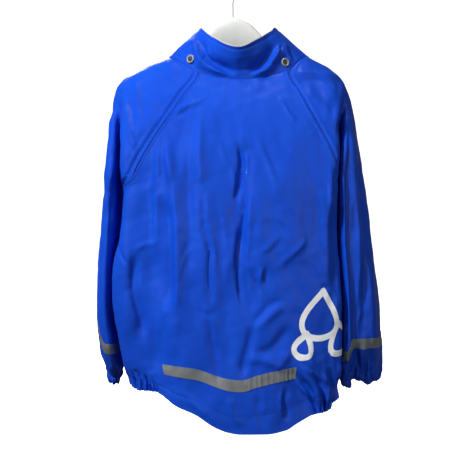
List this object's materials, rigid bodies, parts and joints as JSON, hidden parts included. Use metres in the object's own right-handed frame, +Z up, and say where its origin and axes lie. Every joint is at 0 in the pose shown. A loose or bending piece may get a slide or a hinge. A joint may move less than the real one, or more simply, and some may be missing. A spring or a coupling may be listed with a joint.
{
  "type": "kids raincoat on a hanger",
  "caption": "Child's raincoat of glossy coated cloth with raglan sleeves, stand collar, gathered cuffs and dropped back hem, on a plastic clothes hanger with a wire hook.",
  "frame": {"origin": "where the hanger's hook bears on its rail, at the top of the inside of the hook", "axes": "+Z up; -Y is the side of the coat's back and +Y the side of its front; -X is the wearer's left"},
  "size_m": [0.4301, 0.1818, 0.683],
  "materials": {
    "cloth": "glossy polyurethane-coated polyester knit",
    "strip": "glass-bead reflective strip",
    "snap": "nickel-plated brass",
    "plastic": "white moulded polystyrene",
    "wire": "chrome-plated steel wire"
  },
  "bodies": {
    "root": {"back": "cloth", "back_strip": "strip", "collar": "cloth", "flap_snap_1": "snap", "flap_snap_2": "snap", "flap_snap_3": "snap", "flap_snap_4": "snap", "flap_snap_5": "snap", "flap_snap_6": "snap", "flap_snap_7": "snap", "front_left": "cloth", "front_right": "cloth", "hanger": "plastic", "hood_snap_left": "snap", "hood_snap_right": "snap", "hook": "wire", "sleeve_left": "cloth", "sleeve_right": "cloth", "sleeve_strip_left": "strip", "sleeve_strip_right": "strip", "storm_flap": "cloth"}
  },
  "joints": []
}
